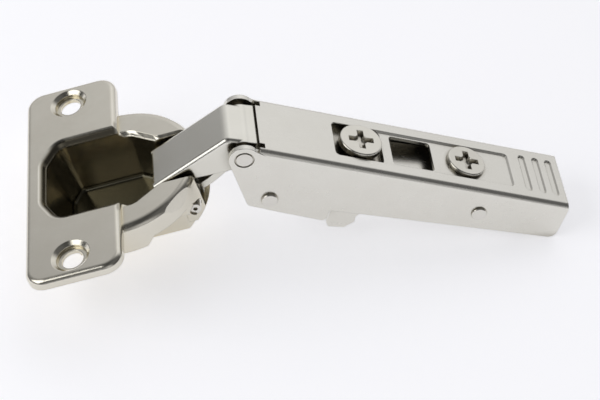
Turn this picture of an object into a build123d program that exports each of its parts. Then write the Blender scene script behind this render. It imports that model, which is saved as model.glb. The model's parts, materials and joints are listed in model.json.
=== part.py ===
# Concealed cabinet hinge with a clip-on arm, shown open and lying on a table.
# Every piece is drawn in the arm's frame: origin on the front pivot, +X to the arm's tail,
# +Y to the far side, +Z away from the cabinet wall. Sizes are in millimetres.
# The last lines turn all pieces together into the lying pose.
import os
from math import acos, atan2, atan, cos, degrees, hypot, radians, sin, tan

from build123d import *

os.makedirs("parts", exist_ok=True)

# fits
run_gap = 0.05            # radial play of a part that turns on a pin
side_gap = 0.3            # side play between parts that move past each other

# door side of the hinge
open_angle = 120.0        # door opening shown
bore_d = 35.0             # hole bored in the door
bore_play = 0.1           # cup boss to bored hole, radial
hole_pitch = 45.0         # distance between the two cup screws
hole_set = 9.5            # screw line to the centre of the bored hole
screw_hole_r = 2.3
screw_rim_r = 4.05
flange_t = 2.2
flange_back = 9.7         # flange edge behind the screw line
flange_front = 10.5       # flange edge in front of the screw line
flange_half = 28.0
flange_corner = 4.0
flange_edge = 1.2         # rounding of the flange's upper edge
cup_depth = 12.0          # box below the flange
cup_floor = 1.0
cup_wall = 1.2
cup_half = 10.6           # half width of the hollow at the flange
cup_back = 15.2           # back wall of the hollow, from the bore centre
cup_back_half = 5.6       # half width of the back wall
cup_bevel = 2.9           # length of the slanted back corners
cup_draft = 9.0           # lean of the walls in degrees
pocket_round = 3.2
floor_round = 1.0
box_round = 0.8
mouth_round = 1.2         # rounding round the mouth
lobe_drop = 1.8           # lobe tops below the flange top
lobe_depth = 8.6          # lobe undersides below the flange top, near the flange
lobe_step_u = 4.2         # from here the undersides rise
lobe_step_len = 1.9
lobe_low = 6.8            # lobe undersides further out
lobe_in = 11.2            # the rise ends at the box's side walls
lobe_edge = 1.6
lobe_bevel = 0.8
lobe_gap_half = 6.6       # half distance between the lobes in front
lobe_bend_u = 3.4         # where the lobes start to close in
lobe_bend_len = 6.4
lobe_root = 2.0           # lobes under the flange
cheek_u = 6.0
cheek_half = 10.0
cheek_depth = 11.9
slot_u = 13.6             # front end of the floor of the link slot
sill_depth = 11.7         # front sill of the cup below the flange top
screw_seat_r = 3.2
rim_sink = 0.7
seat_sink = 1.3
facet_at = 44.0           # flattened place on each lobe's rounded edge, degrees from the middle
facet_tilt = 12.0
facet_sink = 0.4
relief_w = 0.4            # groove under the flange, round the box
relief_t = 0.3

# pivots: A and C in the arm, B and D in the cup (from the screw line, below the flange top)
c_x = 7.9
c_z = -9.9
b_along = 20.2
b_deep = 7.0
d_along = 24.0
d_deep = 9.0
a_pin_r = 1.45
c_pin_r = 1.4
b_pin_r = 1.4
d_pin_r = 1.3
screw_line_x = -32.3      # middle of the screw line seen from pivot A
screw_line_z = -18.1

# arm
arm_t = 1.2
arm_half = 8.2
roof_z = 3.2              # roof height above pivot A
roof_slope = 0.062
roof_x0 = 2.64
roof_x1 = 72.1
tail_x = 72.4
tail_z = -2.6
arm_low = -11.0           # lower edge of the rear walls
tail_round = 1.8
cheek_x = 21.2            # rear end of the deep front cheeks
cheek_rear_z = -14.25
cheek_front_x = 3.87
cheek_front_z = -12.48
cheek_round = 1.6
roof_bend = 1.3
relief_len = 1.1
relief_in = 5.7
panel_s0 = 19.3
panel_s1 = 60.1
panel_half = 4.95
panel_sink = 0.45
panel_lean = 40.0         # slanted edges of the sunk panel and the grooves
tub_s1 = 30.3
tub_half = 4.85
tub_sink = 1.8
tub_wall = 0.9
window_s0 = 32.4
window_s1 = 41.8
window_half = 4.2
grip_s = (63.5, 66.8, 69.9)
grip_half = 5.4
grip_w = 1.7
grip_sink = 0.4
pin_seat_r = 2.05
pin_seat_sink = 0.3
pin_head_r = 1.7
pin_head_t = 0.7

# outer link
olink_half = 5.7
olink_t = 1.2
olink_bend_x = -4.16
olink_bend_z = 2.65
olink_end_x = 2.2
olink_end_z = 2.8
olink_len = 19.7          # plate from the bend to its lip
olink_notch = 0.2         # middle of the lip cut back for the inner link's eye
olink_notch_lean = 1.9    # and further back on its underside
olink_fall = 53.4         # slope of the plate in degrees
olink_a_eye = 2.8
olink_b_eye = 2.5
olink_bend_r = 2.2
olink_edge = 0.9          # rounding along the plate's sides

# inner link
ilink_half = 4.25
ilink_t = 1.6
ilink_d_eye = 2.2
ilink_c_eye = 2.9
ilink_path = ((-4.3, -10.4), (-2.35, -6.9), (0.6, -4.5), (4.6, -4.6))
c_lift = ((-0.62, 0.76), (-1.0, 1.9), (-0.55, 2.75), (0.22, 1.35))   # path of pin C in the link's eye
c_lift_gap = 0.3

# adjusting slide, its rivets and screws
rivet_x = 53.2
rivet_z = -6.5
rivet_r = 1.3
rivet_head_r = 1.62
rivet_head_t = 0.5
slide_top = -4.2
slide_t = 1.1
slide_x0 = 21.0
slide_x1 = 55.9
slide_ear_t = 1.0
slide_ear_len = 4.8
slide_ear_drop = 4.4
travel_in = 2.0           # depth travel of the arm to the cup's side
travel_out = 3.0          # depth travel of the arm to the tail's side
lay_screw_x = 25.2
lay_head_r = 4.6
lay_head_top = 2.6
lay_head_t = 1.4
head_round = 0.35
lay_shank_r = 2.5
lay_neck_r = 1.5
lay_foot_r = 2.4
lay_foot_t = 0.8
deep_screw_s = 49.5
deep_head_r = 4.3
deep_head_up = 0.55
deep_shank_r = 2.5
deep_shank_len = 3.6
cross_len = 5.4
cross_w = 1.4
cross_sink = 0.95
cross_core_r = 1.35
cross_lean = 20.0         # slant of the recess walls

# clip-on carrier and its lever
carrier_x0 = 22.2
carrier_x1 = 63.1
carrier_t = 1.0
carrier_top = -2.9
carrier_low = -10.7
hook_pts = ((22.2, -9.0), (22.2, -16.3), (22.9, -17.2), (26.3, -16.9), (28.1, -14.9),
            (27.9, -13.4), (28.8, -12.0), (29.6, -9.0))
slot_half = 2.95
lever_x = 61.0
lever_z = -7.5
lever_pin_r = 1.2
lever_half = 3.9
lever_pad_half = 5.0
lever_eye_r = 1.9
lever_pts = ((59.3, -7.0), (61.0, -5.65), (64.9, -7.5), (69.2, -9.7), (69.2, -11.1),
             (65.2, -12.0), (61.4, -12.3), (61.0, -10.3), (59.0, -11.0), (57.9, -9.9))
lever_pad_x = 63.5

# springs
close_wire_r = 0.35
close_pitch = 0.74
close_turns = 2.4
close_leg = 3.2
clip_wire_r = 0.25
clip_pitch = 0.55
clip_turns = 2.2
clip_leg = 1.4

# derived values
door_rise = radians(open_angle - 90.0)
boss_r = bore_d / 2 - bore_play
slope = atan(roof_slope)
b_u = b_along - hole_set
d_u = d_along - hole_set
cup_x = screw_line_x + hole_set * cos(door_rise)
cup_z = screw_line_z + hole_set * sin(door_rise)
b_x = screw_line_x + b_along * cos(door_rise) + b_deep * sin(door_rise)
b_z = screw_line_z + b_along * sin(door_rise) - b_deep * cos(door_rise)
d_x = screw_line_x + d_along * cos(door_rise) + d_deep * sin(door_rise)
d_z = screw_line_z + d_along * sin(door_rise) - d_deep * cos(door_rise)
arm_in = arm_half - arm_t
roof_plane = Plane(
    origin=(0, 0, roof_z), x_dir=(cos(slope), 0, -sin(slope)), z_dir=(sin(slope), 0, cos(slope)))
ear_r = roof_z * cos(slope)
olink_in = olink_half - olink_t
slide_low = slide_top - slide_t
carrier_half = round(arm_in - side_gap, 6)
carrier_in = carrier_half - carrier_t
slide_half = round(carrier_in - side_gap, 6)


def roof_at(x):
    return roof_z - roof_slope * x


def mirrored(points):
    return list(points) + [(x, -y) for x, y in reversed(points)]


# hollow of the cup: leaning walls, rounded corners and floor
# (cup pieces are drawn flat, with the bore centre as origin and the flange top at height 0)
box_depth = flange_t + cup_depth
mouth_half_line = (
    (-cup_back, cup_back_half),
    (-cup_back + cup_bevel, cup_half),
    (lobe_bend_u, cup_half),
    (lobe_bend_u + lobe_bend_len, lobe_gap_half - 0.4),
)


def mouth_outline():
    line = Polygon(*mirrored(mouth_half_line), align=None)
    fillet(line.vertices().filter_by(lambda v: v.X < lobe_bend_u + 0.5 * lobe_bend_len), pocket_round)


def box_outline(grown=0.0, mode=Mode.ADD):
    Polygon(*mirrored((
        (-cup_back - cup_wall - grown, cup_back_half + 0.5 + grown),
        (-cup_back + cup_bevel - 0.6 - 0.5 * grown, cup_half + cup_wall + grown),
        (boss_r, cup_half + cup_wall + grown),
    )), align=None, mode=mode)


with BuildPart() as hollow:
    with BuildSketch(Plane.XY):
        mouth_outline()
    extrude(amount=-box_depth + cup_floor, taper=cup_draft)
    fillet(hollow.faces().sort_by(Axis.Z)[0].edges(), floor_round)

lobe_start = flange_front - hole_set

# cup: deep box, cheeks, lobes and flange, then everything that is hollow
with BuildPart() as cup:
    with BuildSketch(Plane.XY.offset(-lobe_drop)):
        box_outline()
        Circle(boss_r, mode=Mode.INTERSECT)
    extrude(amount=-box_depth + lobe_drop, taper=cup_draft)
    fillet(cup.faces().sort_by(Axis.Z)[0].edges(), box_round)
    # cheeks that carry the two link pins
    with BuildSketch(Plane.XY.offset(-cheek_depth)):
        with Locations(((cheek_u + boss_r) / 2, 0)):
            Rectangle(boss_r - cheek_u, 2 * cheek_half)
        Circle(boss_r, mode=Mode.INTERSECT)
    extrude(amount=cheek_depth - lobe_drop)
    # lobes that follow the bored hole, and their straight roots under the flange
    with BuildSketch(Plane.XY.offset(-lobe_depth)):
        Circle(boss_r)
        with Locations((lobe_start - boss_r, 0)):
            Rectangle(2 * boss_r, 4 * boss_r, mode=Mode.SUBTRACT)
    extrude(amount=lobe_depth - lobe_drop)
    fillet(cup.edges().filter_by(GeomType.CIRCLE).group_by(Axis.Z)[-1], lobe_edge)
    with BuildSketch(Plane.XY.offset(-lobe_depth)):
        with Locations((lobe_start - 0.5 * lobe_root, 0)):
            Rectangle(lobe_root, 4 * boss_r)
        Circle(boss_r, mode=Mode.INTERSECT)
    extrude(amount=lobe_depth - flange_t)
    # flange on the door's face
    with BuildSketch(Plane.XY.offset(-flange_t)):
        with Locations(((flange_front - flange_back) / 2 - hole_set, 0)):
            RectangleRounded(flange_front + flange_back, 2 * flange_half, flange_corner)
    extrude(amount=flange_t)
    fillet(cup.faces().sort_by(Axis.Z)[-1].edges(), flange_edge)
    # the undersides of the lobes rise further out
    with BuildSketch(Plane.XZ.offset(lobe_in), Plane.XZ.offset(-lobe_in - 10)):
        Polygon(
            (lobe_step_u, -lobe_depth), (lobe_step_u + lobe_step_len, -lobe_low), (boss_r + 2, -lobe_low),
            (boss_r + 2, -lobe_depth - 2), (lobe_step_u - lobe_step_len, -lobe_depth - 2), align=None)
    extrude(amount=10, mode=Mode.SUBTRACT)
    # the hollow, then the straight slot of the links
    add(hollow.part, mode=Mode.SUBTRACT)
    with BuildSketch(Plane.XY.offset(1)):
        with Locations(((slot_u - 3.0) / 2, 0)):
            Rectangle(slot_u + 3.0, 2 * lobe_gap_half)
    extrude(amount=-1 - box_depth + cup_floor, mode=Mode.SUBTRACT)
    with BuildSketch(Plane.XY.offset(1)):
        with Locations((boss_r, 0)):
            Rectangle(2 * boss_r - 2 * slot_u + 1.0, 2 * lobe_gap_half)
    extrude(amount=-1 - sill_depth, mode=Mode.SUBTRACT)
    # rounded mouth in two bevels on the flange, one bevel lower down on the lobes
    with BuildSketch(Plane.XY):
        mouth_outline()
        offset(amount=mouth_round)
    extrude(amount=-0.3 * mouth_round, taper=65, mode=Mode.SUBTRACT)
    with BuildSketch(Plane.XY.offset(-0.3 * mouth_round)):
        mouth_outline()
        offset(amount=0.36 * mouth_round)
    extrude(amount=-0.7 * mouth_round, taper=30, mode=Mode.SUBTRACT)
    with BuildSketch(Plane.XY.offset(-lobe_drop)):
        mouth_outline()
        with Locations((boss_r, 0)):
            Rectangle(2 * boss_r - 2 * lobe_bend_u - 1.8 * lobe_bend_len, 2 * lobe_gap_half)
        offset(amount=lobe_bevel - lobe_drop * tan(radians(cup_draft)))
        with Locations((lobe_start + 0.2 - 20, 0)):
            Rectangle(40, 60, mode=Mode.SUBTRACT)
    extrude(amount=-lobe_bevel, taper=44, mode=Mode.SUBTRACT)
    # screw holes: bevelled rim, seat, through hole
    rim_lean = degrees(atan((screw_rim_r - screw_seat_r) / rim_sink))
    for y in (hole_pitch / 2, -hole_pitch / 2):
        with BuildSketch(Plane.XY):
            with Locations((-hole_set, y)):
                Circle(screw_rim_r)
        extrude(amount=-rim_sink, taper=rim_lean, mode=Mode.SUBTRACT)
        with BuildSketch(Plane.XY):
            with Locations((-hole_set, y)):
                Circle(screw_seat_r)
        extrude(amount=-seat_sink, mode=Mode.SUBTRACT)
        with BuildSketch(Plane.XY):
            with Locations((-hole_set, y)):
                Circle(screw_hole_r)
        extrude(amount=-2 * flange_t, mode=Mode.SUBTRACT)
    # flattened places on the rounded edges of the lobes
    out = cos(radians(facet_at))
    aside = sin(radians(facet_at))
    lean = radians(facet_tilt)
    ring = boss_r - lobe_edge + (lobe_edge - facet_sink) * cos(lean)
    ring_z = -lobe_drop - lobe_edge + (lobe_edge - facet_sink) * sin(lean)
    for side in (1, -1):
        with BuildSketch(Plane(
                origin=(ring * out, side * ring * aside, ring_z),
                z_dir=(out * cos(lean), side * aside * cos(lean), sin(lean)))):
            Rectangle(14, 14)
        extrude(amount=3, mode=Mode.SUBTRACT)
    # relief groove under the flange, so that it lies flat on the door
    with BuildSketch(Plane.XY.offset(-flange_t)):
        box_outline(relief_w)
        with Locations((lobe_start - 0.5 * lobe_root - relief_w, 0)):
            Rectangle(lobe_root + 2 * relief_w, 2 * boss_r + 2 * relief_w)
        with Locations((lobe_start - 20, 0)):
            Rectangle(40, 4 * boss_r, mode=Mode.INTERSECT)
        box_outline(mode=Mode.SUBTRACT)
        with Locations((lobe_start - 0.5 * lobe_root, 0)):
            Rectangle(lobe_root, 2 * boss_r, mode=Mode.SUBTRACT)
    extrude(amount=relief_t, mode=Mode.SUBTRACT)
    # blind seats of the two short pins of the outer link, through hole of the inner link's pin
    with BuildSketch(Plane.XZ):
        with Locations((b_u, -b_deep)):
            Circle(b_pin_r)
    extrude(amount=lobe_gap_half + 2.6, both=True, mode=Mode.SUBTRACT)
    with BuildSketch(Plane.XZ):
        with Locations((d_u, -d_deep)):
            Circle(d_pin_r)
    extrude(amount=boss_r, both=True, mode=Mode.SUBTRACT)

# short pins of the outer link in the cup's lobes
with BuildPart() as pin_b_near:
    with BuildSketch(Plane.XZ.offset(olink_in)):
        with Locations((b_u, -b_deep)):
            Circle(b_pin_r)
    extrude(amount=lobe_gap_half + 2.6 - olink_in)
with BuildPart() as pin_b_far:
    mirror(pin_b_near.part, about=Plane.XZ)

# long pin of the inner link across the cup
d_end = (boss_r ** 2 - d_u ** 2) ** 0.5
with BuildPart() as pin_d:
    with BuildSketch(Plane.XZ):
        with Locations((d_u, -d_deep)):
            Circle(d_pin_r)
    extrude(amount=d_end, both=True)
    with BuildSketch(Plane.XZ.offset(d_end), Plane.XZ.offset(-d_end - 0.4)):
        with Locations((d_u, -d_deep)):
            Circle(0.45)
    extrude(amount=-0.4, mode=Mode.SUBTRACT)

cup_place = Location((cup_x, 0, cup_z), (0, -degrees(door_rise), 0))

# arm: channel first, then the front ears, then what is pressed and cut in
tangent_turn = atan2(cheek_front_z, cheek_front_x) - acos(ear_r / hypot(cheek_front_x, cheek_front_z))
with BuildPart() as arm:
    with BuildSketch(Plane.XZ) as side:
        Polygon(
            (roof_x0, roof_at(roof_x0)), (roof_x1, roof_at(roof_x1)), (tail_x, tail_z), (tail_x, arm_low),
            (cheek_x, arm_low), (cheek_x, cheek_rear_z), (cheek_front_x + 4, cheek_front_z - 0.5),
            (roof_x0, cheek_front_z + 5), align=None)
        fillet(side.vertices().sort_by_distance((tail_x, arm_low))[0], tail_round)
        fillet(side.vertices().sort_by_distance((cheek_x, cheek_rear_z))[0], 0.8)
    extrude(amount=arm_half, both=True)
    fillet(arm.edges().filter_by(lambda e: e.length > 0.9 * (roof_x1 - roof_x0)), roof_bend)
    with BuildSketch(Plane.XZ):
        Polygon((-30, roof_at(-30) - arm_t), (110, roof_at(110) - arm_t), (110, -60), (-30, -60), align=None)
    extrude(amount=arm_in, both=True, mode=Mode.SUBTRACT)
    with BuildSketch(Plane.XZ.offset(arm_in), Plane.XZ.offset(-arm_half)) as ears:
        Polygon(
            (ear_r * sin(slope), ear_r * cos(slope)), (roof_x0 + 2, roof_at(roof_x0 + 2) - roof_bend),
            (cheek_x - 2, arm_low), (cheek_x - 2, cheek_rear_z + 0.19),
            (cheek_front_x, cheek_front_z),
            (ear_r * cos(tangent_turn), ear_r * sin(tangent_turn)), (0, 0), align=None)
        fillet(ears.vertices().sort_by_distance((cheek_front_x, cheek_front_z))[0], cheek_round)
        Circle(ear_r)
    extrude(amount=arm_t)
    # relief cuts beside the front edge of the roof and at the tail corners
    with BuildSketch(Plane.XY.offset(-1)):
        with Locations((roof_x0, (relief_in + arm_in) / 2), (roof_x0, -(relief_in + arm_in) / 2)):
            Rectangle(2 * relief_len, arm_in - relief_in)
        with Locations((roof_x1 + 0.4, arm_half), (roof_x1 + 0.4, -arm_half)):
            Rectangle(2.0, 2 * roof_bend)
    extrude(amount=8, mode=Mode.SUBTRACT)
    # sunk panel, tub for the front screw, window, grip grooves
    with BuildSketch(roof_plane.offset(-tub_sink - tub_wall)):
        with Locations(((panel_s0 + tub_s1) / 2, 0)):
            RectangleRounded(tub_s1 - panel_s0 + 2 * tub_wall, 2 * (tub_half + tub_wall), 1.6)
    extrude(amount=tub_sink + tub_wall - 0.5 * arm_t)
    with BuildSketch(roof_plane):
        with Locations(((panel_s0 + panel_s1) / 2, 0)):
            RectangleRounded(panel_s1 - panel_s0, 2 * panel_half, 1.0)
    extrude(amount=-panel_sink, taper=panel_lean, mode=Mode.SUBTRACT)
    for s in grip_s:
        with BuildSketch(roof_plane):
            with Locations((s, 0)):
                SlotOverall(2 * grip_half, grip_w, rotation=90)
        extrude(amount=-grip_sink, taper=panel_lean, mode=Mode.SUBTRACT)
    with BuildSketch(roof_plane):
        with Locations(((panel_s0 + tub_s1) / 2, 0)):
            RectangleRounded(tub_s1 - panel_s0, 2 * tub_half, 1.2)
    extrude(amount=-tub_sink, mode=Mode.SUBTRACT)
    with BuildSketch(roof_plane):
        with Locations(((window_s0 + window_s1) / 2, 0)):
            RectangleRounded(window_s1 - window_s0, 2 * window_half, 0.8)
        with Locations((deep_screw_s, 0)):
            Circle(deep_shank_r + run_gap)
    extrude(amount=-3 * arm_t, mode=Mode.SUBTRACT)
    with BuildSketch(Plane.XY.offset(-4)):
        with Locations((lay_screw_x, 0)):
            Circle(lay_shank_r + 0.35)
    extrude(amount=6, mode=Mode.SUBTRACT)
    # pivot holes and the shallow seats round the front pin
    with BuildSketch(Plane.XZ):
        Circle(a_pin_r)
        with Locations((c_x, c_z)):
            Circle(c_pin_r)
        with Locations((rivet_x, rivet_z)):
            Circle(rivet_r + run_gap)
    extrude(amount=2 * arm_half, both=True, mode=Mode.SUBTRACT)
    with BuildSketch(Plane.XZ.offset(arm_half - pin_seat_sink), Plane.XZ.offset(-arm_half)):
        Circle(pin_seat_r)
    extrude(amount=pin_seat_sink, mode=Mode.SUBTRACT)

# pins riveted into the arm
with BuildPart() as pin_a:
    with BuildSketch(Plane.XZ):
        Circle(a_pin_r)
    extrude(amount=arm_half - pin_seat_sink, both=True)
    with BuildSketch(Plane.XZ.offset(arm_half - pin_seat_sink), Plane.XZ.offset(-arm_half)):
        Circle(pin_head_r)
    extrude(amount=pin_seat_sink)
with BuildPart() as pin_c:
    with BuildSketch(Plane.XZ):
        with Locations((c_x, c_z)):
            Circle(c_pin_r)
    extrude(amount=arm_half, both=True)
    with BuildSketch(Plane.XZ.offset(arm_half), Plane.XZ.offset(-arm_half - pin_head_t)):
        with Locations((c_x, c_z)):
            Circle(pin_head_r)
    extrude(amount=pin_head_t)
    fillet(pin_c.faces().sort_by(Axis.Y)[0].edges(), 0.3)
    fillet(pin_c.faces().sort_by(Axis.Y)[-1].edges(), 0.3)

# closing springs on pin C
with BuildPart() as closing_spring_near:
    with BuildLine() as coil:
        Helix(pitch=close_pitch, height=close_pitch * close_turns, radius=c_pin_r + close_wire_r,
              center=(c_x, -arm_in + close_wire_r, c_z), direction=(0, 1, 0))
    with BuildSketch(Plane(origin=coil.line @ 0, z_dir=coil.line % 0)):
        Circle(close_wire_r)
    sweep(path=coil.line, is_frenet=True)
    coil_end = coil.line % 1
    coil_start = coil.line % 0
    front_leg = Plane(origin=coil.line @ 1, z_dir=(coil_end.X, 0, coil_end.Z))
    rear_leg = Plane(origin=coil.line @ 0, z_dir=(-coil_start.X, 0, -coil_start.Z))
    with BuildSketch(front_leg.offset(-2 * close_wire_r), rear_leg.offset(-2 * close_wire_r)):
        Circle(close_wire_r)
    extrude(amount=close_leg + 2 * close_wire_r)
with BuildPart() as closing_spring_far:
    mirror(closing_spring_near.part, about=Plane.XZ)

# outer link: side profile, then the channel under its plate
fall = radians(olink_fall)
down_x = -cos(fall)
down_z = -sin(fall)
in_x = sin(fall)
in_z = -cos(fall)
lip_x = olink_bend_x + olink_len * down_x
lip_z = olink_bend_z + olink_len * down_z
under_x = olink_bend_x + olink_t * tan(fall / 2)
under_z = olink_bend_z - olink_t
notch_under = olink_notch + 2 * olink_notch_lean
with BuildPart() as outer_link:
    with BuildSketch(Plane.XZ) as profile:
        Polygon(
            (olink_end_x, olink_end_z), (olink_bend_x, olink_bend_z), (lip_x, lip_z),
            (lip_x + olink_t * in_x, lip_z + olink_t * in_z),
            (b_x - 0.98 * olink_b_eye, b_z + 0.17 * olink_b_eye),
            (b_x + 0.98 * olink_b_eye, b_z + 0.17 * olink_b_eye),
            (-8.0, -8.95), (0.42, -4.56), (2.6, -3.4), (olink_a_eye, 0), (olink_end_x, olink_end_z - olink_t),
            align=None)
        fillet(profile.vertices().sort_by_distance((olink_bend_x, olink_bend_z))[0], olink_bend_r)
        with Locations((b_x, b_z)):
            Circle(olink_b_eye)
        Circle(olink_a_eye)
    extrude(amount=olink_half, both=True)
    fillet(outer_link.edges().filter_by(lambda e: e.length > 0.75 * olink_len), olink_edge)
    with BuildSketch(Plane.XZ):
        Polygon(
            (olink_end_x + 8, under_z), (under_x, under_z),
            (under_x + 40 * down_x, under_z + 40 * down_z), (olink_end_x + 8, under_z - 40), align=None)
    extrude(amount=olink_in, both=True, mode=Mode.SUBTRACT)
    with BuildSketch(Plane.XZ):
        Polygon(
            (lip_x - olink_notch * down_x - 4 * in_x, lip_z - olink_notch * down_z - 4 * in_z),
            (lip_x - olink_notch * down_x, lip_z - olink_notch * down_z),
            (lip_x - notch_under * down_x + 2 * olink_t * in_x,
             lip_z - notch_under * down_z + 2 * olink_t * in_z),
            (lip_x + 4 * down_x + 4 * in_x, lip_z + 4 * down_z + 4 * in_z),
            (lip_x + 4 * down_x - 4 * in_x, lip_z + 4 * down_z - 4 * in_z), align=None)
    extrude(amount=olink_in, both=True, mode=Mode.SUBTRACT)
    with BuildSketch(Plane.XZ):
        Circle(a_pin_r + run_gap)
        with Locations((b_x, b_z)):
            Circle(b_pin_r + run_gap)
    extrude(amount=2 * olink_half, both=True, mode=Mode.SUBTRACT)

# inner link: arched strip inside the outer link, its eye for pin C is a slot
with BuildPart() as inner_link:
    with BuildSketch(Plane.XZ):
        with BuildLine():
            Polyline((d_x, d_z), *ilink_path, (c_x, c_z + 1.6))
        trace(line_width=ilink_t)
        with Locations((d_x, d_z)):
            Circle(ilink_d_eye)
    extrude(amount=ilink_half, both=True)
    with BuildSketch(Plane.XZ):
        with BuildLine():
            CenterArc((c_x, c_z), ilink_c_eye, 0, 360)
            CenterArc((c_x + c_lift[2][0], c_z + c_lift[2][1]), ilink_c_eye, 0, 360)
        make_hull()
    extrude(amount=ilink_half, both=True)
    with BuildSketch(Plane.XZ):
        with BuildLine():
            CenterArc((c_x, c_z), c_pin_r + run_gap, 0, 360)
            for lift in c_lift:
                CenterArc((c_x + lift[0], c_z + lift[1]), c_pin_r + c_lift_gap, 0, 360)
        make_hull()
    extrude(amount=2 * ilink_half, both=True, mode=Mode.SUBTRACT)
    with BuildSketch(Plane.XZ):
        with Locations((d_x, d_z)):
            Circle(d_pin_r + run_gap)
    extrude(amount=2 * ilink_half, both=True, mode=Mode.SUBTRACT)

# adjusting slide: plate under the carrier's roof with two ears for the tilt rivets
with BuildPart() as adjust_slide:
    with BuildSketch(Plane.XY.offset(slide_low)):
        with Locations(((slide_x0 + slide_x1) / 2, 0)):
            RectangleRounded(slide_x1 - slide_x0, 2 * slide_half, 0.8)
    extrude(amount=slide_t)
    with BuildSketch(Plane.XZ.offset(slide_half - slide_ear_t), Plane.XZ.offset(-slide_half)):
        with Locations((rivet_x, (slide_top + slide_top - slide_ear_drop) / 2)):
            RectangleRounded(slide_ear_len, slide_ear_drop, 0.5)
    extrude(amount=slide_ear_t)
    with BuildSketch(Plane.XZ):
        with Locations((rivet_x, rivet_z)):
            Circle(rivet_r)
    extrude(amount=2 * slide_half, both=True, mode=Mode.SUBTRACT)
    with BuildSketch(Plane.XY.offset(slide_low - 1)):
        with Locations((lay_screw_x, 0)):
            Circle(lay_neck_r + run_gap)
        with Locations((deep_screw_s - 0.3, 0)):
            Circle(deep_shank_r + 1.0)
    extrude(amount=slide_t + 2, mode=Mode.SUBTRACT)

with BuildPart() as tilt_rivet_near:
    with BuildSketch(Plane.XZ.offset(slide_half - slide_ear_t)):
        with Locations((rivet_x, rivet_z)):
            Circle(rivet_r)
    extrude(amount=arm_half + run_gap - slide_half + slide_ear_t)
    with BuildSketch(Plane.XZ.offset(arm_half + run_gap)):
        with Locations((rivet_x, rivet_z)):
            Circle(rivet_head_r)
    extrude(amount=rivet_head_t)
    fillet(tilt_rivet_near.faces().sort_by(Axis.Y)[0].edges(), 0.25)
with BuildPart() as tilt_rivet_far:
    mirror(tilt_rivet_near.part, about=Plane.XZ)

# front screw: its foot is held in the slide, its head stands in the arm's tub
with BuildPart() as overlay_screw:
    with BuildSketch(Plane.XY.offset(slide_low - run_gap - lay_foot_t)):
        with Locations((lay_screw_x, 0)):
            Circle(lay_foot_r)
    extrude(amount=lay_foot_t)
    with BuildSketch(Plane.XY.offset(slide_low - run_gap)):
        with Locations((lay_screw_x, 0)):
            Circle(lay_neck_r)
    extrude(amount=slide_t + 2 * run_gap)
    with BuildSketch(Plane.XY.offset(slide_top + run_gap)):
        with Locations((lay_screw_x, 0)):
            Circle(lay_shank_r)
    extrude(amount=lay_head_top - lay_head_t - slide_top - run_gap)
    with BuildSketch(Plane.XY.offset(lay_head_top - lay_head_t)):
        with Locations((lay_screw_x, 0)):
            Circle(lay_head_r)
    extrude(amount=lay_head_t)
    fillet(overlay_screw.faces().sort_by(Axis.Z)[-1].edges(), head_round)
    with BuildSketch(Plane.XY.offset(lay_head_top)):
        with Locations((lay_screw_x, 0)):
            Rectangle(cross_len, cross_w)
            Rectangle(cross_w, cross_len)
            Circle(cross_core_r)
    extrude(amount=-cross_sink, taper=cross_lean, mode=Mode.SUBTRACT)

# rear screw: flat head on the sunk panel, its end works in the carrier's long slot
with BuildPart() as depth_screw:
    with BuildSketch(roof_plane.offset(-panel_sink - deep_shank_len)):
        with Locations((deep_screw_s, 0)):
            Circle(deep_shank_r)
    extrude(amount=deep_shank_len + run_gap)
    with BuildSketch(roof_plane.offset(-panel_sink + run_gap)):
        with Locations((deep_screw_s, 0)):
            Circle(deep_head_r)
    extrude(amount=panel_sink + deep_head_up - run_gap)
    fillet(depth_screw.faces().sort_by(Axis((0, 0, 0), roof_plane.z_dir))[-1].edges(), head_round)
    with BuildSketch(roof_plane.offset(deep_head_up)):
        with Locations((deep_screw_s, 0)):
            Rectangle(cross_len, cross_w)
            Rectangle(cross_w, cross_len)
            Circle(cross_core_r)
    extrude(amount=-cross_sink, taper=cross_lean, mode=Mode.SUBTRACT)

# carrier: channel inside the arm with the front hooks of the clip-on fixing
with BuildPart() as carrier:
    with BuildSketch(Plane.XZ):
        Polygon(
            (carrier_x0, carrier_top), (carrier_x1, carrier_top), (carrier_x1, carrier_low),
            (carrier_x0, carrier_low), align=None)
        Polygon(*hook_pts, align=None)
    extrude(amount=carrier_half, both=True)
    with BuildSketch(Plane.XZ):
        Polygon(
            (carrier_x0 - 5, carrier_top - carrier_t), (carrier_x1 + 5, carrier_top - carrier_t),
            (carrier_x1 + 5, -60), (carrier_x0 - 5, -60), align=None)
    extrude(amount=carrier_in, both=True, mode=Mode.SUBTRACT)
    with BuildSketch(Plane.XY.offset(carrier_top - 2)):
        with Locations((lay_screw_x + (travel_out - travel_in) / 2, 0)):
            SlotOverall(travel_in + travel_out + 2 * slot_half, 2 * slot_half)
        with Locations((carrier_x0 + 1, 0)):
            Rectangle(6, 2 * slot_half)
        with Locations((deep_screw_s - 0.3 + (travel_out - travel_in) / 2, 0)):
            SlotOverall(travel_in + travel_out + 2 * slot_half, 2 * slot_half)
    extrude(amount=4, mode=Mode.SUBTRACT)
    with BuildSketch(Plane.XZ):
        with Locations((rivet_x + (travel_out - travel_in) / 2, rivet_z)):
            SlotOverall(travel_in + travel_out + 2 * (rivet_r + side_gap), 2 * (rivet_r + side_gap))
        with Locations((lever_x, lever_z)):
            Circle(lever_pin_r)
    extrude(amount=2 * carrier_half, both=True, mode=Mode.SUBTRACT)

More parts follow.
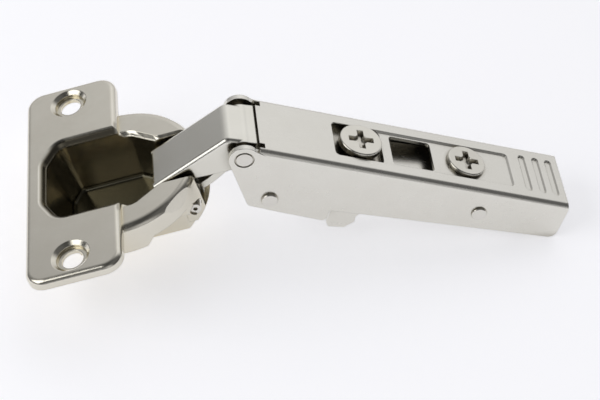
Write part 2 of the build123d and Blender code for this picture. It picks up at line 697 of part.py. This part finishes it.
# clip lever on its pin, with its spring
with BuildPart() as lever_pin:
    with BuildSketch(Plane.XZ):
        with Locations((lever_x, lever_z)):
            Circle(lever_pin_r)
    extrude(amount=carrier_half, both=True)
with BuildPart() as clip_lever:
    with BuildSketch(Plane.XZ):
        Polygon(*lever_pts, align=None)
        with Locations((lever_x, lever_z)):
            Circle(lever_eye_r)
    extrude(amount=lever_half, both=True)
    with BuildSketch(Plane.XZ):
        Polygon(*lever_pts, align=None)
        with Locations((lever_pad_x - 20, lever_z)):
            Rectangle(40, 40, mode=Mode.SUBTRACT)
    extrude(amount=lever_pad_half, both=True)
    with BuildSketch(Plane.XZ):
        with Locations((lever_x, lever_z)):
            Circle(lever_pin_r + run_gap)
    extrude(amount=2 * lever_half, both=True, mode=Mode.SUBTRACT)
with BuildPart() as lever_spring:
    with BuildLine() as clip_coil:
        Helix(pitch=clip_pitch, height=clip_pitch * clip_turns, radius=lever_pin_r + clip_wire_r,
              center=(lever_x, -carrier_in + clip_wire_r, lever_z), direction=(0, 1, 0))
    with BuildSketch(Plane(origin=clip_coil.line @ 0, z_dir=clip_coil.line % 0)):
        Circle(clip_wire_r)
    sweep(path=clip_coil.line, is_frenet=True)
    clip_start = clip_coil.line % 0
    clip_leg_plane = Plane(origin=clip_coil.line @ 0, z_dir=(-clip_start.X, 0, -clip_start.Z))
    with BuildSketch(clip_leg_plane.offset(-2 * clip_wire_r)):
        Circle(clip_wire_r)
    extrude(amount=clip_leg + 2 * clip_wire_r)

# lying pose: the cup's rear bottom edge and the arm's tail touch the table
back_u = -cup_back - cup_wall
back_w = -flange_t - cup_depth
foot_x = cup_x + back_u * cos(door_rise) - back_w * sin(door_rise)
foot_z = cup_z + back_u * sin(door_rise) + back_w * cos(door_rise)
lie_angle = degrees(atan2(arm_low - foot_z, tail_x - 0.8 * tail_round - foot_x))
pieces = {
    "carrier": carrier.part,
    "lever_pin": lever_pin.part,
    "clip_lever": clip_lever.part,
    "lever_spring": lever_spring.part,
    "adjust_slide": adjust_slide.part,
    "tilt_rivet_near": tilt_rivet_near.part,
    "tilt_rivet_far": tilt_rivet_far.part,
    "overlay_screw": overlay_screw.part,
    "depth_screw": depth_screw.part,
    "arm": arm.part,
    "pin_a": pin_a.part,
    "pin_c": pin_c.part,
    "closing_spring_near": closing_spring_near.part,
    "closing_spring_far": closing_spring_far.part,
    "outer_link": outer_link.part,
    "inner_link": inner_link.part,
    "cup": cup.part.moved(cup_place),
    "pin_b_near": pin_b_near.part.moved(cup_place),
    "pin_b_far": pin_b_far.part.moved(cup_place),
    "pin_d": pin_d.part.moved(cup_place),
}
lie_turn = Location((0, 0, 0), (0, lie_angle, 0))
turned = {name: piece.moved(lie_turn) for name, piece in pieces.items()}
boxes = [piece.bounding_box() for piece in turned.values()]
mid_x = (min(b.min.X for b in boxes) + max(b.max.X for b in boxes)) / 2
low_z = min(b.min.Z for b in boxes)
lie_shift = Location((-mid_x, 0, -low_z))
for name, piece in turned.items():
    laid = piece.moved(lie_shift)
    laid.label = name
    export_step(laid, "parts/" + name + ".step")
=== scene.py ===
import json
from math import cos, radians, sin

import bpy
from mathutils import Matrix, Vector

# looks of the hinge: plated metal on a pale floor, at the photo's angle, with places and sizes in metres
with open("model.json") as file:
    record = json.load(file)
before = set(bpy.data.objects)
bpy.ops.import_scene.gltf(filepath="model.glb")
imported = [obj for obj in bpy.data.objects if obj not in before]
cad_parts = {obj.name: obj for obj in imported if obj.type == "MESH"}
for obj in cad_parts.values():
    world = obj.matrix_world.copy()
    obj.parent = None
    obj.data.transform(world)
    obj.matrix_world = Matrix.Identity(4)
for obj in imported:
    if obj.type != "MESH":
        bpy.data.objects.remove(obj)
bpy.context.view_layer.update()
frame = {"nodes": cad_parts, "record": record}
nodes = frame["nodes"]
scene = bpy.context.scene

# the cup's own directions and the bore's centre on the flange's top, from the mount of its screws
screw_to_bore = 0.0095
flange_thick = 0.0022
mounts = {mount["name"]: mount for mount in frame["record"]["mounts"]}
flange_normal = Vector(mounts["cup_screws"]["axis"])
across = Vector((0, 1, 0)).cross(flange_normal)
screw_line = Vector(mounts["cup_screws"]["pos_m"])
bore_centre = screw_line + across * screw_to_bore + flange_normal * flange_thick

# what all the plated metals share
noise_span = (0.25, 0.75)
cloud_scale = 160.0
cloud_detail = 3.0
cloud_share = (0.3, 1.0)
grain_detail = 4.0
grain_depth = 0.00006
smoother = 0.02
rougher = 0.03
edge_samples = 6
hollow_samples = 8
hollow_span = (0.3, 0.85)


# node helpers
def new_material(name):
    material = bpy.data.materials.new(name)
    material.use_nodes = True
    tree = material.node_tree
    tree.nodes.clear()
    out = tree.nodes.new("ShaderNodeOutputMaterial")
    bsdf = tree.nodes.new("ShaderNodeBsdfPrincipled")
    tree.links.new(bsdf.outputs["BSDF"], out.inputs["Surface"])
    return material, tree, bsdf


def noise(tree, coord, scale, stretch=(1, 1, 1), detail=cloud_detail):
    mapping = tree.nodes.new("ShaderNodeMapping")
    mapping.inputs["Scale"].default_value = stretch
    tree.links.new(coord, mapping.inputs["Vector"])
    node = tree.nodes.new("ShaderNodeTexNoise")
    node.inputs["Scale"].default_value = scale
    node.inputs["Detail"].default_value = detail
    tree.links.new(mapping.outputs["Vector"], node.inputs["Vector"])
    return node.outputs["Fac"]


def remap(tree, value, from_span, to_span=(0.0, 1.0)):
    """Stretches from_span over to_span and holds the ends outside it."""
    node = tree.nodes.new("ShaderNodeMapRange")
    node.inputs["From Min"].default_value, node.inputs["From Max"].default_value = from_span
    node.inputs["To Min"].default_value, node.inputs["To Max"].default_value = to_span
    tree.links.new(value, node.inputs["Value"])
    return node.outputs["Result"]


def feed(tree, socket, value):
    """Links an output to the socket, or sets a colour or a number on it."""
    if isinstance(value, bpy.types.NodeSocket):
        tree.links.new(value, socket)
    elif isinstance(value, tuple):
        socket.default_value = (*value, 1)
    else:
        socket.default_value = value


def mix(tree, factor, first, second, blend_type="MIX"):
    """The first colour at factor 0, the second at 1."""
    node = tree.nodes.new("ShaderNodeMix")
    node.data_type = "RGBA"
    node.blend_type = blend_type
    feed(tree, node.inputs["Factor"], factor)
    feed(tree, node.inputs["A"], first)
    feed(tree, node.inputs["B"], second)
    return node.outputs["Result"]


def along(tree, vector, axis):
    node = tree.nodes.new("ShaderNodeVectorMath")
    node.operation = "DOT_PRODUCT"
    node.inputs[1].default_value = axis
    tree.links.new(vector, node.inputs[0])
    return node.outputs["Value"]


def calculate(tree, operation, first, second):
    node = tree.nodes.new("ShaderNodeMath")
    node.operation = operation
    tree.links.new(first, node.inputs[0])
    tree.links.new(second, node.inputs[1])
    return node.outputs["Value"]


def product(tree, *factors):
    total = factors[0]
    for factor in factors[1:]:
        total = calculate(tree, "MULTIPLY", total, factor)
    return total


def between(tree, value, low, high, low_fade, high_fade):
    """1 from low to high, falling to 0 within the fades outside them."""
    return product(
        tree,
        remap(tree, value, (low - low_fade, low)),
        remap(tree, value, (high, high + high_fade), (1.0, 0.0)),
    )


def gray_ramp(tree, value, stops):
    """Nearly neutral levels at the stops, which are pairs of place and level."""
    blue_lift = 1.01
    node = tree.nodes.new("ShaderNodeValToRGB")
    elements = node.color_ramp.elements
    ready = len(elements)
    for i, (place, level) in enumerate(stops):
        stop = elements[i] if i < ready else elements.new(place)
        stop.position = place
        stop.color = (level, level, level * blue_lift, 1)
    tree.links.new(value, node.inputs["Fac"])
    return node.outputs["Color"]


# plated metal
def shade_hollows(tree, tone, reach, deep_shade_tone):
    """Painted shade: darker, browner colour where the surface lies deep in a hollow."""
    node = tree.nodes.new("ShaderNodeAmbientOcclusion")
    node.samples = hollow_samples
    node.inputs["Distance"].default_value = reach
    return mix(tree, remap(tree, node.outputs["AO"], hollow_span), deep_shade_tone, tone)


def shade_cup(tree, coord, tone):
    """Painted shade on the rounding of the cup's mouth and on the floor of its hollow.

    Lows and tops are depths under the flange's top, backs and fronts are reaches from the bore's centre.
    """
    rounding_shade_tone = (0.15, 0.135, 0.10)
    rounding_low, rounding_low_fade = 0.0012, 0.0006
    rounding_top, rounding_top_fade = 0.0003, 0.00025
    mouth_back, mouth_front, mouth_fade = 0.0168, 0.0002, 0.0008
    mouth_half, mouth_half_fade = 0.0125, 0.001
    floor_shade_tone = (0.08, 0.074, 0.052)
    floor_low, floor_top, floor_rise_fade = 0.0136, 0.0124, 0.0003
    floor_back, floor_front, floor_half, floor_fade = 0.0135, 0.012, 0.0088, 0.0004
    level = bore_centre.dot(flange_normal)
    middle = bore_centre.dot(across)
    width = along(tree, coord, (0, 1, 0))
    reach = along(tree, coord, across)
    rise = along(tree, coord, flange_normal)
    rounding_shade = product(
        tree,
        between(
            tree, rise, level - rounding_low, level - rounding_top, rounding_low_fade, rounding_top_fade
        ),
        between(tree, reach, middle - mouth_back, middle + mouth_front, mouth_fade, mouth_fade),
        between(tree, width, -mouth_half, mouth_half, mouth_half_fade, mouth_half_fade),
    )
    hollow_floor_shade = product(
        tree,
        between(tree, rise, level - floor_low, level - floor_top, floor_rise_fade, floor_rise_fade),
        between(tree, reach, middle - floor_back, middle + floor_front, floor_fade, floor_fade),
        between(tree, width, -floor_half, floor_half, floor_fade, floor_fade),
    )
    # painted shade: darker mouth rounding and darker hollow floor
    tone = mix(tree, rounding_shade, tone, rounding_shade_tone)
    return mix(tree, hollow_floor_shade, tone, floor_shade_tone)


def nickel(
    name,
    color,
    dark,
    rough,
    grain_scale,
    bump,
    stretch=(1, 1, 1),
    edge=0.00018,
    hollow_shade_reach=None,
    hollow_shade_tone=None,
    shade=None,
):
    """Plated metal: cloudy tone, painted shade in hollows, grain in roughness and bump, softly broken edges.
    """
    material, tree, bsdf = new_material(name)
    coord = tree.nodes.new("ShaderNodeTexCoord").outputs["Object"]
    cloud = noise(tree, coord, cloud_scale)
    grain = noise(tree, coord, grain_scale, stretch, grain_detail)
    tone = mix(tree, remap(tree, cloud, noise_span, cloud_share), dark, color)
    # painted shade where the surface lies in hollows, in corners and between parts
    if hollow_shade_reach:
        tone = shade_hollows(tree, tone, hollow_shade_reach, hollow_shade_tone)
    # further painted shade from the given function
    if shade:
        tone = shade(tree, coord, tone)
    grain_rough = remap(tree, grain, noise_span, (rough - smoother, rough + rougher))
    tree.links.new(tone, bsdf.inputs["Base Color"])
    tree.links.new(grain_rough, bsdf.inputs["Roughness"])
    bsdf.inputs["Metallic"].default_value = 1.0
    edges = tree.nodes.new("ShaderNodeBevel")
    edges.samples = edge_samples
    edges.inputs["Radius"].default_value = edge
    relief = tree.nodes.new("ShaderNodeBump")
    relief.inputs["Strength"].default_value = bump
    relief.inputs["Distance"].default_value = grain_depth
    tree.links.new(grain, relief.inputs["Height"])
    tree.links.new(edges.outputs["Normal"], relief.inputs["Normal"])
    tree.links.new(relief.outputs["Normal"], bsdf.inputs["Normal"])
    return material


# each metal's hollow tone and reach set the painted shade in its hollows
cup_nickel = nickel(
    "cup_nickel",
    color=(0.72, 0.69, 0.605),
    dark=(0.66, 0.627, 0.54),
    rough=0.19,
    grain_scale=900.0,
    bump=0.03,
    edge=0.0003,
    hollow_shade_reach=0.020,
    hollow_shade_tone=(0.66, 0.60, 0.45),
    shade=shade_cup,
)
arm_nickel = nickel(
    "arm_nickel",
    color=(0.755, 0.738, 0.68),
    dark=(0.725, 0.705, 0.643),
    rough=0.25,
    grain_scale=2600.0,
    bump=0.012,
    stretch=(0.35, 1, 1),
    hollow_shade_reach=0.003,
    hollow_shade_tone=(0.34, 0.315, 0.26),
)
link_nickel = nickel(
    "link_nickel",
    color=(0.75, 0.735, 0.67),
    dark=(0.70, 0.68, 0.61),
    rough=0.22,
    grain_scale=1800.0,
    bump=0.08,
    stretch=(0.02, 1, 0.02),
    edge=0.0003,
    hollow_shade_reach=0.004,
    hollow_shade_tone=(0.22, 0.20, 0.16),
)
pin_nickel = nickel(
    "pin_nickel",
    color=(0.75, 0.73, 0.68),
    dark=(0.68, 0.655, 0.60),
    rough=0.24,
    grain_scale=2000.0,
    bump=0.04,
    edge=0.00022,
    hollow_shade_reach=0.0012,
    hollow_shade_tone=(0.20, 0.17, 0.11),
)
screw_nickel = nickel(
    "screw_nickel",
    color=(0.72, 0.70, 0.63),
    dark=(0.64, 0.615, 0.55),
    rough=0.22,
    grain_scale=1600.0,
    bump=0.04,
    hollow_shade_reach=0.0022,
    hollow_shade_tone=(0.16, 0.14, 0.10),
)
# painted shade: a darker copy of the nickel for the slide and the clip lever
shaded_nickel = nickel(
    "shaded_nickel",
    color=(0.55, 0.53, 0.48),
    dark=(0.42, 0.40, 0.36),
    rough=0.34,
    grain_scale=2000.0,
    bump=0.05,
    hollow_shade_reach=0.008,
    hollow_shade_tone=(0.10, 0.09, 0.068),
)
spring_steel = nickel(
    "spring_steel",
    color=(0.42, 0.42, 0.42),
    dark=(0.28, 0.28, 0.28),
    rough=0.3,
    grain_scale=1500.0,
    bump=0.08,
)

# the pins and rivets take the pins' nickel
look = {
    "cup": cup_nickel,
    "arm": arm_nickel,
    "outer_link": link_nickel,
    "inner_link": link_nickel,
    "carrier": arm_nickel,
    "adjust_slide": shaded_nickel,
    "clip_lever": shaded_nickel,
    "overlay_screw": screw_nickel,
    "depth_screw": screw_nickel,
    "closing_spring_near": spring_steel,
    "closing_spring_far": spring_steel,
    "lever_spring": spring_steel,
}
for name, obj in nodes.items():
    obj.data.materials.clear()
    obj.data.materials.append(look.get(name, pin_nickel))


# floor, with a glow that shows only to the camera and in reflections
def pale_floor():
    dull, pale = (0.84, 0.84, 0.88), (0.88, 0.88, 0.922)
    patch_scale = 3.0
    glow_tone, glow = (0.98, 0.98, 1.0), 0.57
    material, tree, bsdf = new_material("pale_floor")
    coord = tree.nodes.new("ShaderNodeTexCoord").outputs["Object"]
    tree.links.new(mix(tree, noise(tree, coord, patch_scale), dull, pale), bsdf.inputs["Base Color"])
    bsdf.inputs["Roughness"].default_value = 0.65
    bsdf.inputs["Specular IOR Level"].default_value = 0.2
    bsdf.inputs["Emission Color"].default_value = (*glow_tone, 1)
    path = tree.nodes.new("ShaderNodeLightPath")
    seen = calculate(tree, "MAXIMUM", path.outputs["Is Camera Ray"], path.outputs["Is Glossy Ray"])
    tree.links.new(remap(tree, seen, (0.0, 1.0), (0.0, glow)), bsdf.inputs["Emission Strength"])
    return material


floor_reach = 3.0
floor_drop = 0.0001
corners = [(-1, -1), (1, -1), (1, 1), (-1, 1)]
floor_mesh = bpy.data.meshes.new("floor")
floor_mesh.from_pydata([(x * floor_reach, y * floor_reach, 0) for x, y in corners], [], [(0, 1, 2, 3)])
floor_mesh.materials.append(pale_floor())
floor = bpy.data.objects.new("floor", floor_mesh)
floor.location = (0, 0, -floor_drop)
scene.collection.objects.link(floor)


# surroundings
def studio_world():
    """Bright far side, duller low and left, dark overhead and above the viewer, plain pale to the camera."""
    height_stops = ((0.0, 0.40), (0.2, 0.70), (0.46, 0.76), (0.58, 0.90), (0.70, 0.96))
    depth_stops = ((0.06, 0.75), (0.16, 0.12), (0.56, 0.12), (0.74, 0.84), (0.87, 1.0))
    left_span, left_levels = (-0.8, 0.1), (0.60, 1.0)
    corner_x_span, corner_y_span, corner_level = (-0.15, 0.15), (0.62, 0.75), 0.55
    pale = (0.86, 0.86, 0.88)
    strength = 1.1
    world = bpy.data.worlds.new("studio")
    world.use_nodes = True
    tree = world.node_tree
    tree.nodes.clear()
    out = tree.nodes.new("ShaderNodeOutputWorld")
    background = tree.nodes.new("ShaderNodeBackground")
    direction = tree.nodes.new("ShaderNodeSeparateXYZ")
    tree.links.new(tree.nodes.new("ShaderNodeTexCoord").outputs["Generated"], direction.inputs["Vector"])
    x, y, z = (direction.outputs[axis] for axis in "XYZ")
    corner = product(
        tree, remap(tree, x, corner_x_span, (1.0, 0.0)), remap(tree, y, corner_y_span, (1.0, 0.0))
    )
    studio = gray_ramp(tree, z, height_stops)
    for factor in (
        remap(tree, x, left_span, left_levels),
        gray_ramp(tree, remap(tree, y, (-1.0, 1.0)), depth_stops),
        remap(tree, corner, (0.0, 1.0), (1.0, corner_level)),
    ):
        studio = mix(tree, 1.0, studio, factor, "MULTIPLY")
    to_camera = tree.nodes.new("ShaderNodeLightPath").outputs["Is Camera Ray"]
    tree.links.new(mix(tree, to_camera, studio, pale), background.inputs["Color"])
    background.inputs["Strength"].default_value = strength
    tree.links.new(background.outputs["Background"], out.inputs["Surface"])
    return world


scene.world = studio_world()

# soft lamp at the left
lamp_place = Vector((-0.60, -0.16, 0.42))
lamp_target = Vector((-0.03, 0.0, 0.0))
lamp = bpy.data.lights.new("left", "AREA")
lamp.shape = "RECTANGLE"
lamp.size = 0.6
lamp.size_y = 0.5
lamp.energy = 1.8
lamp_object = bpy.data.objects.new("left", lamp)
lamp_object.location = lamp_place
lamp_object.rotation_euler = (lamp_target - lamp_place).to_track_quat("-Z", "Y").to_euler()
scene.collection.objects.link(lamp_object)

# camera, fitted to the photo
azimuth = radians(-8.8235)
elevation = radians(45.137)
roll = radians(4.1441)
camera_place = (-0.039365, -0.255933, 0.266124)
camera = bpy.data.cameras.new("camera")
camera.lens = 102.666
camera.sensor_width = 36.0
camera.clip_start = 0.01
camera.clip_end = 20.0
backward = Vector((sin(azimuth) * cos(elevation), -cos(azimuth) * cos(elevation), sin(elevation)))
level_right = Vector((cos(azimuth), sin(azimuth), 0))
level_up = backward.cross(level_right)
right = level_right * cos(roll) + level_up * sin(roll)
up = level_up * cos(roll) - level_right * sin(roll)
turn = Matrix((right, up, backward)).transposed()
camera_object = bpy.data.objects.new("camera", camera)
camera_object.matrix_world = Matrix.Translation(camera_place) @ turn.to_4x4()
scene.collection.objects.link(camera_object)
scene.camera = camera_object
scene.view_settings.view_transform = "Standard"
